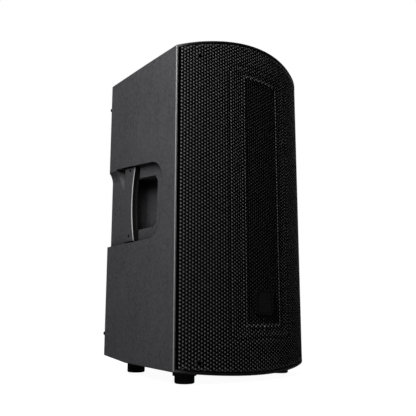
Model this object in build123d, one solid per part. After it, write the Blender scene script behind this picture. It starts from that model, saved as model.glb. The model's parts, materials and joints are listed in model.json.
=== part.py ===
from build123d import *
import os
from math import atan, cos, pi, radians, sin, sqrt, tan

# Powered two-way loudspeaker cabinet.  Millimetres, +Z up, floor at z = 0, front facing -Y,
# x = 0 and y = 0 in the middle of the whole object's width and depth.

# ---------------------------------------------------------------- driving dimensions
FOOT_HEIGHT = 23.5             # floor to the lower front corners
CORNER_HEIGHT = 610.0          # height of the front corner edges
CENTRE_RADIUS = 376.2          # bowed front: middle arc ...
CENTRE_ANGLE = radians(23.0)   # ... up to this tangent angle,
CORNER_RADIUS = 149.6          # then tighter arcs out to the corners
CORNER_ANGLE = radians(42.1)
SIDE_DEPTH = 282.3             # front corner edge to rear corner edge, along Y
REAR_HALF_WIDTH = 127.8
TOP_ARCH_RADIUS = 678.0
TOP_FALL = radians(3.2)        # the top slopes down to the rear
BOTTOM_ARCH_RADIUS = 1800.0
BOTTOM_RISE = radians(2.06)    # the underside slopes up to the rear,
TAIL_RISE = radians(6.1)       # more steeply along its last part
TAIL_LENGTH = 97.0
BUMPER_PROUD = 6.0
WALL = 5.0
EDGE_ROUND = 2.4
RIM = 2.8                      # the side walls thin down to this beside the grille

HALF_WIDTH = CENTRE_RADIUS * sin(CENTRE_ANGLE) + CORNER_RADIUS * (sin(CORNER_ANGLE) - sin(CENTRE_ANGLE))
FRONT_BOW = (CENTRE_RADIUS * (1 - cos(CENTRE_ANGLE))
             + CORNER_RADIUS * (cos(CENTRE_ANGLE) - cos(CORNER_ANGLE)))
BODY_DEPTH = FRONT_BOW + SIDE_DEPTH
FRONT_Y = -(BODY_DEPTH + BUMPER_PROUD) / 2
CORNER_Y = FRONT_Y + FRONT_BOW
REAR_Y = CORNER_Y + SIDE_DEPTH
SIDE_ANGLE = atan((HALF_WIDTH - REAR_HALF_WIDTH) / SIDE_DEPTH)
TAIL_Y = REAR_Y - TAIL_LENGTH
CORNER_TOP = FOOT_HEIGHT + CORNER_HEIGHT

# Baffle, grille and badge
BAFFLE_Y = CORNER_Y + 13.0     # front face of the flat baffle
BAFFLE_THICKNESS = 15.0
LEDGE_THICKNESS = 8.0
LEDGE_WIDTH = 14.0
FIT_GAP = 0.5
GRILLE_RECESS = 0.2
GRILLE_THICKNESS = 1.2
PRESS_DEPTH = 4.0              # the grille's middle is pressed in by this much
PRESS_WIDTH = 138.0
PRESS_LOW = 89.0
PRESS_HIGH = 603.0
PRESS_CORNER = 19.0
FOAM_THICKNESS = 4.0
GRILLE_SCREW_ARC = 154.0       # distance from the centre line, along the bow
GRILLE_SCREW_LEVELS = (39.0, 615.0)
BADGE_LEVEL = 145.0
BADGE_WIDTH = 50.0
BADGE_HEIGHT = 47.0
BADGE_PROUD = 3.0
BADGE_Y = FRONT_Y + GRILLE_RECESS + PRESS_DEPTH

# Side handles, measured on the flat side: distance behind the front corner edge, height above it
RECESS_DEPTH = 10.0
GRIP_DEPTH = 5.0               # grip face below the side surface
SEAT_DEPTH = 18.0
POCKET_DEPTH = 50.0
HANDLE_WALL = 4.0
GRIP_SCREWS = ((195.5, 394.5), (196.3, 256.0))
GRIP_SCREW_SUNK = 3.0
GRIP_ROUND = 2.2
GRIP_GAP = 1.2                 # between the grip and its seat
GRIP_FOOT_GAP = 2.6
SCOOP_DEPTH = 18.0             # thumb scoop below the recess floor

# Woofer, horn and ports
WOOFER_LEVEL = 262.0
HORN_LEVEL = 525.0
HORN_THROAT = 12.7
PORT_X = 118.0
PORT_LEVEL = 84.0
PORT_RADIUS = 32.0

# Amplifier panel
PANEL_WIDTH = 212.0
PANEL_HEIGHT = 362.0
PANEL_LEVEL = 300.0
PANEL_SUNK = 12.0
PANEL_THICKNESS = 3.0
GASKET = 2.0
PANEL_Y = REAR_Y - PANEL_SUNK                 # outer face of the amplifier panel
PANEL_BACK = PANEL_Y - PANEL_THICKNESS
BOARD_Y = PANEL_BACK - 24.0                   # panel-side face of every circuit board
BOARD_THICKNESS = 1.6
KNOB_PLACES = {"gain_knob_left": (-55.0, 345.0), "gain_knob_right": (5.0, 345.0),
               "main_knob": (60.0, 437.0)}
JACK_PLACES = {"left": (-55.0, 386.0), "right": (5.0, 386.0)}
OUTPUT_PLACE = (66.0, 386.0)
BUTTON_PLACE = (66.0, 345.0)
DISPLAY_PLACE = (-30.0, 437.0)
INLET_PLACE = (-45.0, 168.0)
SWITCH_PLACE = (35.0, 168.0)
SINK_LEVEL = 262.0

# Pole socket
SOCKET_Y = -5.0
SOCKET_BORE = 18.0
SOCKET_TOP = 102.0
SOCKET_MOUTH = 17.5
SOCKET_SEAT = 22.0

# Feet and rear bumpers
FOOT_RADIUS = 18.5
FRONT_FOOT_X = 139.0
FRONT_FOOT_BACK = 23.0         # behind the front corner edges
REAR_FOOT_X = 70.6
REAR_FOOT_BACK = 243.0
BUMPER_X = 111.0
BUMPER_RADIUS = 4.2
BUMPER_REACH = 12.0            # straight part of a bumper, each way from its screw
BUMPER_ROUND = 2.4             # rounding of a bumper's outer rim
BUMPER_LEVELS = (80.0, 577.0)
BUMPER_HEAD_RADIUS = 2.7
BUMPER_COUNTERBORE = 2.9

RUNNING_GAP = 0.05


# ---------------------------------------------------------------- small helpers
def block(x0, x1, y0, y1, z0, z1):
    return Pos((x0 + x1) / 2, (y0 + y1) / 2, (z0 + z1) / 2) * Box(x1 - x0, y1 - y0, z1 - z0)


def slab(y0, y1):
    """Everything between two depths."""
    return block(-400, 400, y0, y1, -100, 900)


def rod_y(radius, y0, y1, x=0.0, z=0.0):
    return Pos(x, (y0 + y1) / 2, z) * Rot(90, 0, 0) * Cylinder(radius, y1 - y0)


def tube_y(outer, inner, y0, y1, x=0.0, z=0.0):
    return rod_y(outer, y0, y1, x, z) - rod_y(inner, y0 - 1, y1 + 1, x, z)


def rod_z(radius, z0, z1, x=0.0, y=0.0):
    return Pos(x, y, (z0 + z1) / 2) * Cylinder(radius, z1 - z0)


def panel(width, height, y0, y1, x=0.0, z=0.0, radius=0.0):
    """A plate standing across Y, with rounded corners if a radius is given."""
    outline = RectangleRounded(width, height, radius) if radius else Rectangle(width, height)
    return extrude(Plane((x, y0, z), x_dir=(1, 0, 0), z_dir=(0, 1, 0)) * outline, amount=y1 - y0)


def turned(points, x=0.0, z=0.0):
    """A ring turned about an axis along Y, from (radius, depth behind the baffle face) corners."""
    corners = [(radius, BAFFLE_Y + depth) for radius, depth in points]
    return Pos(x, 0, z) * revolve(make_face(Polyline(*corners, close=True)), Axis.Y)


def around(count, radius, phase=0.0):
    """Evenly spaced points on a circle."""
    for index in range(count):
        angle = phase + 2 * pi * index / count
        yield radius * cos(angle), radius * sin(angle)


def group(pieces):
    """Separate solids that share one node."""
    return Compound([solid for piece in pieces for solid in piece.solids()])


def screw(radius, length, head_radius, head_height):
    """Pan-head screw with a cross recess: head on +Z, shank down to -length."""
    head = Pos(0, 0, head_height / 2) * Cylinder(head_radius, head_height)
    head = fillet(head.edges().group_by(Axis.Z)[-1], head_height * 0.4)
    slot = Box(head_radius * 1.1, head_radius * 0.28, head_height)
    cross = Pos(0, 0, head_height) * (slot + Rot(0, 0, 90) * slot)
    return head - cross + Pos(0, 0, -length / 2) * Cylinder(radius, length)


def drill(radius, length, reach=30.0):
    """Hole tool for a screw: from above the head's seat down to -length."""
    return Pos(0, 0, (reach - length) / 2) * Cylinder(radius, length + reach)


def aimed(point, direction):
    return Plane(point, z_dir=direction).location


# ---------------------------------------------------------------- cabinet outline
def front_point(angle, inset=0.0):
    """Point of the bowed front, set inwards by inset, where the surface has turned by angle."""
    side = -1 if angle < 0 else 1
    turn = abs(angle)
    if turn <= CENTRE_ANGLE:
        radius = CENTRE_RADIUS
        centre_x, centre_y = 0.0, FRONT_Y + CENTRE_RADIUS
    else:
        radius = CORNER_RADIUS
        offset = CENTRE_RADIUS - CORNER_RADIUS
        centre_x = offset * sin(CENTRE_ANGLE)
        centre_y = FRONT_Y + CENTRE_RADIUS - offset * cos(CENTRE_ANGLE)
    return side * (centre_x + (radius - inset) * sin(turn)), centre_y - (radius - inset) * cos(turn)


def front_curve(inset=0.0):
    middle = (CENTRE_ANGLE + CORNER_ANGLE) / 2
    turns = (-CORNER_ANGLE, -middle, -CENTRE_ANGLE, 0.0, CENTRE_ANGLE, middle, CORNER_ANGLE)
    points = [front_point(turn, inset) for turn in turns]
    return [ThreePointArc(*points[start:start + 3]) for start in (0, 2, 4)]


def front_region(inset, back_y):
    """Prism behind the bowed front, set in by inset and cut off at back_y."""
    left = front_point(-CORNER_ANGLE, inset)
    right = front_point(CORNER_ANGLE, inset)
    edges = front_curve(inset) + [Polyline(right, (right[0], back_y), (left[0], back_y), left)]
    return Pos(0, 0, -50) * extrude(make_face(edges), amount=800)


def side_x(y, inset=0.0):
    return HALF_WIDTH - (y - CORNER_Y) * tan(SIDE_ANGLE) - inset / cos(SIDE_ANGLE)


def arch_axis(radius, slope, level):
    """Axis height at the corner edges' depth, for an arch that passes them at the given level."""
    sag = radius - sqrt(radius ** 2 - HALF_WIDTH ** 2)
    return level + sag - radius / cos(slope)


TOP_AXIS = arch_axis(TOP_ARCH_RADIUS, TOP_FALL, CORNER_TOP)
BOTTOM_AXIS = 2 * FOOT_HEIGHT - arch_axis(BOTTOM_ARCH_RADIUS, BOTTOM_RISE, FOOT_HEIGHT)
TAIL_AXIS = (BOTTOM_AXIS + (TAIL_Y - CORNER_Y) * tan(BOTTOM_RISE)
             + BOTTOM_ARCH_RADIUS * (1 / cos(TAIL_RISE) - 1 / cos(BOTTOM_RISE)))


def top_z(x, y, inset=0.0):
    axis = TOP_AXIS - (y - CORNER_Y) * tan(TOP_FALL)
    return axis + sqrt((TOP_ARCH_RADIUS - inset) ** 2 - x ** 2) / cos(TOP_FALL)


def bottom_z(x, y, inset=0.0):
    drop = sqrt((BOTTOM_ARCH_RADIUS - inset) ** 2 - x ** 2)
    middle = BOTTOM_AXIS + (y - CORNER_Y) * tan(BOTTOM_RISE) - drop / cos(BOTTOM_RISE)
    tail = TAIL_AXIS + (y - TAIL_Y) * tan(TAIL_RISE) - drop / cos(TAIL_RISE)
    return max(middle, tail)


def arches(inset=0.0):
    """Space between the arched underside, its steeper tail and the arched top."""
    length = 1400
    top = aimed((0, CORNER_Y, TOP_AXIS), (0, cos(TOP_FALL), -sin(TOP_FALL)))
    bottom = aimed((0, CORNER_Y, BOTTOM_AXIS), (0, cos(BOTTOM_RISE), sin(BOTTOM_RISE)))
    tail = aimed((0, TAIL_Y, TAIL_AXIS), (0, cos(TAIL_RISE), sin(TAIL_RISE)))
    space = top * Cylinder(TOP_ARCH_RADIUS - inset, length)
    space &= bottom * Cylinder(BOTTOM_ARCH_RADIUS - inset, length)
    return space & (tail * Cylinder(BOTTOM_ARCH_RADIUS - inset, length))


def outer_body():
    rear = Polyline((HALF_WIDTH, CORNER_Y), (REAR_HALF_WIDTH, REAR_Y),
                    (-REAR_HALF_WIDTH, REAR_Y), (-HALF_WIDTH, CORNER_Y))
    plan = make_face(front_curve() + [rear])
    return (Pos(0, 0, -50) * extrude(plan, amount=800)) & arches()


def cavity(inset, rear_y, front_y=FRONT_Y - 20.0, side_inset=None):
    """Inside space, set in from the sides, top and underside, and open to the front."""
    across = inset if side_inset is None else side_inset
    corners = [(side_x(front_y, across), front_y), (side_x(rear_y, across), rear_y),
               (-side_x(rear_y, across), rear_y), (-side_x(front_y, across), front_y)]
    plan = make_face(Polyline(*corners, close=True))
    return (Pos(0, 0, -50) * extrude(plan, amount=800)) & arches(inset)


# ---------------------------------------------------------------- side handle shapes
def side_plane(depth=0.0):
    """Plane along the right side, sunk by depth: x runs to the rear, y up, normal outwards."""
    origin = (HALF_WIDTH - depth * cos(SIDE_ANGLE), CORNER_Y - depth * sin(SIDE_ANGLE), FOOT_HEIGHT)
    return Plane(origin, x_dir=(-sin(SIDE_ANGLE), cos(SIDE_ANGLE), 0),
                 z_dir=(cos(SIDE_ANGLE), sin(SIDE_ANGLE), 0))


def sunk(outline, start, end):
    """The outline extruded inwards from one depth to another."""
    return extrude(side_plane(start) * outline, amount=start - end)


def rounded_front(corners, radius):
    """Closed outline with its two foremost corners rounded."""
    face = make_face(Polyline(*corners, close=True))
    return fillet(face.vertices().sort_by(Axis.X)[0:2], radius)


def recess_outline():
    return rounded_front([(300, 411.8), (41, 390.3), (54, 243.2), (300, 239.2)], 50)


def pocket_outline():
    return rounded_front([(206, 377.3), (83, 368.2), (87, 266.6), (206, 266)], 17)


def seat_outline(gap=0.0, foot_gap=0.0):
    """Slot that holds the grip, as tall as the recess."""
    return make_face(Polyline((160, 400.1 - gap), (222 - gap, 405.0 - gap),
                              (217.3 - gap, 240.8 + foot_gap), (160, 241.7 + foot_gap), close=True))


def grip_outline():
    seat = seat_outline(GRIP_GAP, GRIP_FOOT_GAP)
    bow = ThreePointArc((171.5, 404), (184.5, 321), (171.5, 238))
    ahead = make_face([bow, Polyline((171.5, 238), (138, 238), (138, 404), (171.5, 404))])
    return seat - ahead


def thumb_scoop():
    """Hollow behind the top of the grip."""
    above_floor = 8.0
    spot = side_plane(RECESS_DEPTH - above_floor).location * Pos(222, 399.5, 0)
    bowl = spot * scale(Sphere(1), (32, 46, SCOOP_DEPTH + above_floor))
    behind = make_face(Polyline((220.6, 249), (300, 249), (300, 411), (220.6, 404.5), close=True))
    return bowl & sunk(behind, -5, SEAT_DEPTH + 10)


def handle_hollow():
    """Everything cut from the right side of the shell for its handle."""
    hollow = rounded_roof(sunk(recess_outline(), -8, RECESS_DEPTH))
    hollow += sunk(pocket_outline(), 0, POCKET_DEPTH)
    hollow += sunk(seat_outline(), 0, SEAT_DEPTH)
    return hollow + thumb_scoop()


def rounded_roof(hollow):
    """The recess floor behind the grip curves up to meet the side surface."""
    radius = 34.0
    level = 381.0
    roof = sunk(make_face(Polyline((223, level), (305, level), (305, 425), (223, 425), close=True)),
                -8, RECESS_DEPTH)
    along = side_plane(RECESS_DEPTH - radius).location * Pos(262, level, 0)
    arch = along * Rot(0, 90, 0) * Cylinder(radius, 90)
    return (hollow - roof) + (hollow & roof & arch)


def handle_backing():
    """Walls behind the handle's recess, seat, scoop and pocket."""
    floor = sunk(offset(recess_outline(), HANDLE_WALL), 0, RECESS_DEPTH + HANDLE_WALL)
    seat = sunk(offset(seat_outline(), HANDLE_WALL), 0, SEAT_DEPTH + HANDLE_WALL)
    pocket = sunk(offset(pocket_outline(), HANDLE_WALL), 0, POCKET_DEPTH + HANDLE_WALL)
    scoop = sunk(make_face(Polyline((216, 348), (260, 348), (260, 410), (216, 409), close=True)),
                 0, RECESS_DEPTH + SCOOP_DEPTH + HANDLE_WALL)
    return floor + seat + pocket + scoop


def grip_screw_places():
    for along, up in GRIP_SCREWS:
        yield side_plane(GRIP_DEPTH + GRIP_SCREW_SUNK).location * Pos(along, up, 0)


def both_sides(right):
    return [right, mirror(right, about=Plane.YZ)]


# ---------------------------------------------------------------- screw places
def baffle_screw_places():
    y = BAFFLE_Y
    rear = BAFFLE_Y + BAFFLE_THICKNESS
    middle = LEDGE_WIDTH / 2 + WALL
    for side in (-1, 1):
        for z in (62, 190, 330, 470, 588):
            yield aimed((side * side_x(rear, middle), y, z), (0, -1, 0))
        yield aimed((side * 62, y, top_z(62, rear, middle)), (0, -1, 0))
        yield aimed((side * 62, y, bottom_z(62, rear, middle)), (0, -1, 0))


def grille_screw_places():
    turn = CENTRE_ANGLE + (GRILLE_SCREW_ARC - CENTRE_RADIUS * CENTRE_ANGLE) / CORNER_RADIUS
    for side in (-1, 1):
        x, y = front_point(side * turn, GRILLE_RECESS)
        for z in GRILLE_SCREW_LEVELS:
            yield aimed((x, y, z), (side * sin(turn), -cos(turn), 0))


def woofer_screw_places():
    for x, z in around(8, 150.5, pi / 8):
        yield aimed((x, BAFFLE_Y - 6, WOOFER_LEVEL + z), (0, -1, 0))


def horn_screw_places():
    for x in (-122.5, 0, 122.5):
        for z in (-77.5, 77.5):
            yield aimed((x, BAFFLE_Y - 4, HORN_LEVEL + z), (0, -1, 0))


def amp_screw_places():
    half_width = PANEL_WIDTH / 2 - 6
    half_height = PANEL_HEIGHT / 2 - 6
    for side in (-1, 1):
        for step in (-1, -0.34, 0.34, 1):
            yield aimed((side * half_width, PANEL_Y, PANEL_LEVEL + step * half_height), (0, 1, 0))
    for x in (-45, 45):
        for side in (-1, 1):
            yield aimed((x, PANEL_Y, PANEL_LEVEL + side * half_height), (0, 1, 0))


def foot_places():
    spots = [(FRONT_FOOT_X, CORNER_Y + FRONT_FOOT_BACK), (REAR_FOOT_X, CORNER_Y + REAR_FOOT_BACK)]
    return [(side * x, y) for x, y in spots for side in (-1, 1)]


def bumper_places():
    return [(side, z) for side in (-1, 1) for z in BUMPER_LEVELS]


def socket_screw_places():
    for x, y in around(4, 29, pi / 4):
        yield aimed((x, SOCKET_Y + y, SOCKET_MOUTH), (0, 0, -1))


# ---------------------------------------------------------------- cabinet
def cabinet_shell():
    outer = outer_body()
    outer = fillet(outer.edges(), EDGE_ROUND)
    shell = outer - cavity(WALL, REAR_Y - WALL)

    shell -= cavity(WALL, BAFFLE_Y - 2, side_inset=RIM)

    ledge_y = BAFFLE_Y + BAFFLE_THICKNESS
    band = slab(ledge_y, ledge_y + LEDGE_THICKNESS)
    shell += (cavity(WALL - 1, REAR_Y - WALL) - cavity(WALL + LEDGE_WIDTH, REAR_Y - WALL)) & band

    for backing in both_sides(handle_backing()):
        shell += backing & outer
    for hollow in both_sides(handle_hollow()):
        shell -= hollow

    tray_back = REAR_Y - PANEL_SUNK - PANEL_THICKNESS - GASKET
    shell += panel(PANEL_WIDTH + 12, PANEL_HEIGHT + 12, tray_back - 5, REAR_Y - 1, z=PANEL_LEVEL, radius=10)
    shell -= panel(PANEL_WIDTH + 2, PANEL_HEIGHT + 2, tray_back, REAR_Y + 5, z=PANEL_LEVEL, radius=6)
    shell -= panel(PANEL_WIDTH - 24, PANEL_HEIGHT - 24, tray_back - 10, REAR_Y, z=PANEL_LEVEL, radius=4)

    shell += rod_z(42, SOCKET_MOUTH + 3, 42, y=SOCKET_Y)
    shell -= rod_z(36.3, 0, SOCKET_SEAT, y=SOCKET_Y)
    shell -= rod_z(21.3, 0, 60, y=SOCKET_Y)

    for x, y in foot_places():
        floor = bottom_z(x, y)
        shell += rod_z(6, floor + 2, floor + 22, x, y)
        shell -= aimed((x, y, 8), (0, 0, -1)) * drill(2.3, floor + 10)
    for side, z in bumper_places():
        shell += rod_y(6, REAR_Y - 20, REAR_Y - 2, side * BUMPER_X, z)
        shell -= aimed((side * BUMPER_X, REAR_Y + 2, z), (0, 1, 0)) * drill(1.8, 17)
    for place in baffle_screw_places():
        shell -= place * drill(2.2, BAFFLE_THICKNESS + 10)
    for place in amp_screw_places():
        shell -= place * drill(1.8, 14)
    for place in socket_screw_places():
        shell -= place * drill(1.8, 20)
    for place in grip_screw_places():
        for hole in both_sides(place * drill(2.1, 18)):
            shell -= hole
    return shell


def front_baffle():
    baffle = cavity(WALL + FIT_GAP, BAFFLE_Y + BAFFLE_THICKNESS, BAFFLE_Y)
    inside = front_region(GRILLE_RECESS + GRILLE_THICKNESS, BAFFLE_Y + 1)
    for place in grille_screw_places():
        baffle += (place * Pos(0, 0, -35) * Cylinder(6.5, 90)) & inside
        baffle -= place * drill(1.55, 14)
    baffle -= rod_y(142, BAFFLE_Y - 5, BAFFLE_Y + 30, z=WOOFER_LEVEL)
    baffle -= panel(234, 144, BAFFLE_Y - 5, BAFFLE_Y + 30, z=HORN_LEVEL, radius=18)
    for side in (-1, 1):
        baffle -= rod_y(PORT_RADIUS + 3.3, BAFFLE_Y - 5, BAFFLE_Y + 30, side * PORT_X, PORT_LEVEL)
    for place in baffle_screw_places():
        baffle -= place * drill(2.4, BAFFLE_THICKNESS + 10, 5)
    for x, y in foot_places()[:2]:
        baffle -= rod_z(6.5, 0, bottom_z(x, y) + 23, x, y)
    for place in woofer_screw_places():
        baffle -= place * drill(2.55, 21)
    for place in horn_screw_places():
        baffle -= place * drill(2.1, 17)
    return baffle


def pressed_front(inset):
    """Everything behind the grille's face with its sunk middle, set in by inset."""
    window = panel(PRESS_WIDTH + 2 * inset, PRESS_HIGH - PRESS_LOW + 2 * inset, FRONT_Y - 1, CORNER_Y + 30,
                   z=(PRESS_LOW + PRESS_HIGH) / 2, radius=PRESS_CORNER + inset)
    return front_region(inset, CORNER_Y + 30) - (window - front_region(inset + PRESS_DEPTH, CORNER_Y + 30))


def grille_sheet(inset, thickness, edge_gap):
    sheet = pressed_front(inset) - pressed_front(inset + thickness)
    limit = side_x(CORNER_Y + 5, WALL + edge_gap)
    return sheet & block(-limit, limit, FRONT_Y - 5, CORNER_Y + 25, 0, 700) & arches(WALL + edge_gap)


def grille():
    sheet = grille_sheet(GRILLE_RECESS, GRILLE_THICKNESS, 1.0)
    for place in grille_screw_places():
        sheet -= place * drill(2.0, 6)
    return sheet


def grille_foam():
    foam = grille_sheet(GRILLE_RECESS + GRILLE_THICKNESS + 0.3, FOAM_THICKNESS, 3.0)
    for place in grille_screw_places():
        foam -= place * drill(7.2, 40)
    return foam


def badge(width, height, back, face, radius):
    return panel(width, height, BADGE_Y - face, BADGE_Y + back, z=BADGE_LEVEL, radius=radius)


def badge_bezel():
    bezel = badge(BADGE_WIDTH, BADGE_HEIGHT, 2, BADGE_PROUD, 5)
    bezel = fillet(bezel.faces().sort_by(Axis.Y)[0].edges(), 1.0)
    bezel -= badge(BADGE_WIDTH - 12, BADGE_HEIGHT - 8, -1, BADGE_PROUD + 2, 3)
    return bezel - front_region(GRILLE_RECESS + PRESS_DEPTH, CORNER_Y)


def badge_plate():
    return badge(BADGE_WIDTH - 12.4, BADGE_HEIGHT - 8.4, -1, BADGE_PROUD - 0.6, 2.8)


# ---------------------------------------------------------------- handles, feet, bumpers, pole socket
def handle_grip():
    grip = sunk(grip_outline(), GRIP_DEPTH, SEAT_DEPTH - 0.1)
    grip = fillet(grip.faces().sort_by(Axis.X)[-1].edges(), GRIP_ROUND)
    for place in grip_screw_places():
        grip -= place * Pos(0, 0, 10) * Cylinder(3.4, 20)
        grip -= place * drill(2.3, 20, 1)
    return grip


def handle_screws():
    return group([side for place in grip_screw_places()
                  for side in both_sides(place * screw(2.0, 16, 3.2, 1.8))])


def feet():
    body = outer_body()
    pieces = []
    for x, y in foot_places():
        foot = rod_z(FOOT_RADIUS, 0, FOOT_HEIGHT + 12, x, y)
        foot = fillet(foot.edges().group_by(Axis.Z)[0], 3)
        foot += rod_z(FOOT_RADIUS + 3.5, bottom_z(x + FOOT_RADIUS, y) - 4.5, FOOT_HEIGHT + 12, x, y)
        foot -= body
        foot = foot.solids().sort_by(Axis.Z)[0]
        pieces.append(foot - rod_z(5.2, -1, 8, x, y) - rod_z(2.6, -1, 60, x, y))
    return group(pieces)


def foot_screws():
    return group([aimed((x, y, 8), (0, 0, -1)) * screw(2.2, bottom_z(x, y) + 8, 4.6, 2.6)
                  for x, y in foot_places()])


def rear_bumpers():
    """Pill-shaped pads on the rear face, close to its corners."""
    outline = SlotOverall(2 * (BUMPER_REACH + BUMPER_RADIUS), 2 * BUMPER_RADIUS, rotation=90)
    pad = aimed((BUMPER_X, REAR_Y, 0), (0, 1, 0)) * extrude(outline, BUMPER_PROUD)
    rim = [edge for edge in pad.edges() if edge.center().Y > REAR_Y + BUMPER_PROUD - 0.1]
    pad = fillet(rim, BUMPER_ROUND)
    pieces = []
    for side, z in bumper_places():
        counterbore = rod_y(BUMPER_COUNTERBORE, REAR_Y + 2, REAR_Y + 20, BUMPER_X)
        holes = counterbore + rod_y(2.0, REAR_Y - 9, REAR_Y + 9, BUMPER_X)
        piece = Pos(0, 0, z) * (pad - holes)
        pieces.append(piece if side > 0 else mirror(piece, about=Plane.YZ))
    return group(pieces)


def rear_bumper_screws():
    return group([aimed((side * BUMPER_X, REAR_Y + 2, z), (0, 1, 0)) * screw(1.7, 15, BUMPER_HEAD_RADIUS, 1.8)
                  for side, z in bumper_places()])


def pole_socket():
    cup = rod_z(SOCKET_BORE + 3, SOCKET_MOUTH, SOCKET_TOP, y=SOCKET_Y)
    cup += rod_z(36, SOCKET_MOUTH, SOCKET_SEAT, y=SOCKET_Y)
    cup -= rod_z(SOCKET_BORE, SOCKET_MOUTH - 1, SOCKET_TOP - 3, y=SOCKET_Y)
    for place in socket_screw_places():
        cup -= place * drill(2.1, 10)
    return cup


# ---------------------------------------------------------------- woofer
def woofer_frame():
    basket = turned([(155, -6), (155, 0), (141, 0), (141, 12), (88, 72), (88, 80), (50, 80), (50, 76),
                     (82, 76), (82, 71), (134, 13), (134, -3), (146, -3), (146, -6)])
    basket += turned([(84, 58.5), (97, 58.5), (95, 62.5), (84, 62.5)])
    window = block(-26, 26, BAFFLE_Y + 20, BAFFLE_Y + 54, 70, 160)
    for index in range(6):
        basket -= Rot(0, 60 * index + 30, 0) * window
    basket = Pos(0, 0, WOOFER_LEVEL) * basket
    for place in woofer_screw_places():
        basket -= place * drill(2.7, 10)
    return basket


def woofer_gasket():
    return turned([(135, -6), (145.8, -6), (145.8, -4.6), (135, -4.6)], z=WOOFER_LEVEL)


def woofer_surround():
    centre = (123, BAFFLE_Y - 3.1)
    roll = Pos(*centre) * (Circle(11.5) - Circle(10.5))
    roll &= Pos(centre[0], centre[1] - 10) * Rectangle(40, 20)
    flange = Pos(139, BAFFLE_Y - 3.8) * Rectangle(12, 1.4)
    lip = Pos(109, BAFFLE_Y - 3.8) * Rectangle(6, 1.4)
    return Pos(0, 0, WOOFER_LEVEL) * revolve(roll + flange + lip, Axis.Y)


def woofer_cone():
    return turned([(111.5, -3), (111.5, -1.6), (34, 48), (32.5, 48), (32.5, 46.2), (110, -3)], z=WOOFER_LEVEL)


def woofer_dust_cap():
    radius = 62.0
    ball = Sphere(radius) - Sphere(radius - 1.2)
    rim = 41.5
    rise = sqrt(radius ** 2 - 46.0 ** 2)
    cap = ball & (Pos(0, 0, rise + 50) * Box(200, 200, 100))
    return Pos(0, BAFFLE_Y + rim + rise - 5.2, WOOFER_LEVEL) * Rot(90, 0, 0) * cap


def voice_coil():
    return turned([(31.6, 44), (32.4, 44), (32.4, 80), (33.2, 80), (33.2, 94), (31.6, 94)], z=WOOFER_LEVEL)


def woofer_spider():
    pitch, swing, thickness = 6.0, 1.4, 0.6
    ridges = [(36 + pitch * index, 55.0 + swing * (-1) ** index) for index in range(9)]
    upper = [(32.6, 55.0)] + ridges + [(87, 57.4), (92, 57.4)]
    lower = [(radius, depth + thickness) for radius, depth in reversed(upper)]
    return turned(upper + lower, z=WOOFER_LEVEL)


def woofer_top_plate():
    return turned([(34, 80), (78, 80), (78, 88), (34, 88)], z=WOOFER_LEVEL)


def woofer_magnet():
    return turned([(45, 88), (85, 88), (85, 108), (45, 108)], z=WOOFER_LEVEL)


def woofer_pole_piece():
    return turned([(10, 81), (30.8, 81), (30.8, 108), (78, 108), (78, 116), (10, 116)], z=WOOFER_LEVEL)


# ---------------------------------------------------------------- horn and compression driver
def horn_section(width, height, radius, depth):
    plane = Plane((0, BAFFLE_Y + depth, HORN_LEVEL), x_dir=(1, 0, 0), z_dir=(0, 1, 0))
    return plane * RectangleRounded(width, height, radius)


def horn_waveguide():
    wall = 3.0
    steps = [(226, 136, 16, -4), (120, 96, 24, 36), (62, 58, 20, 74),
             (2 * HORN_THROAT + 0.2, 2 * HORN_THROAT + 0.2, HORN_THROAT - 0.1, 108)]
    inside = loft([horn_section(*step) for step in steps])
    outside = loft([horn_section(w + 2 * wall, h + 2 * wall, r + wall, d) for w, h, r, d in steps])
    flange = panel(256, 166, BAFFLE_Y - 4, BAFFLE_Y, z=HORN_LEVEL, radius=12)
    horn = outside + flange + rod_y(42, BAFFLE_Y + 104, BAFFLE_Y + 111, z=HORN_LEVEL)
    horn -= inside
    horn -= rod_y(HORN_THROAT, BAFFLE_Y + 104, BAFFLE_Y + 115, z=HORN_LEVEL)
    for place in horn_screw_places():
        horn -= place * drill(2.2, 8)
    for x, z in around(4, 34, pi / 4):
        horn -= rod_y(2.7, BAFFLE_Y + 100, BAFFLE_Y + 115, x, HORN_LEVEL + z)
    return horn


def driver_body():
    body = turned([(HORN_THROAT, 111), (46, 111), (46, 148), (25, 148), (25, 143), (HORN_THROAT, 130)],
                  z=HORN_LEVEL)
    for x, z in around(4, 34, pi / 4):
        body -= rod_y(2.6, BAFFLE_Y + 108, BAFFLE_Y + 124, x, HORN_LEVEL + z)
    for x, z in around(3, 37):
        body -= rod_y(2.1, BAFFLE_Y + 138, BAFFLE_Y + 150, x, HORN_LEVEL + z)
    return body


def driver_diaphragm():
    radius = 28.0
    rise = sqrt(radius ** 2 - 22.0 ** 2)
    dome = (Sphere(radius) - Sphere(radius - 0.4)) & (Pos(0, 0, rise + 50) * Box(200, 200, 100))
    dome = Pos(0, -rise + BAFFLE_Y + 148.5, 0) * Rot(-90, 0, 0) * dome
    ring = tube_y(31, 21.5, BAFFLE_Y + 148, BAFFLE_Y + 148.6)
    return Pos(0, 0, HORN_LEVEL) * (dome + ring)


def driver_cover():
    cover = rod_y(44, BAFFLE_Y + 148.8, BAFFLE_Y + 166, z=HORN_LEVEL)
    cover = fillet(cover.edges().sort_by(Axis.Y)[-1], 4)
    cover -= rod_y(30, BAFFLE_Y + 148, BAFFLE_Y + 161, z=HORN_LEVEL)
    for x, z in around(3, 37):
        cover -= rod_y(2.3, BAFFLE_Y + 140, BAFFLE_Y + 170, x, HORN_LEVEL + z)
    return cover


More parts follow.
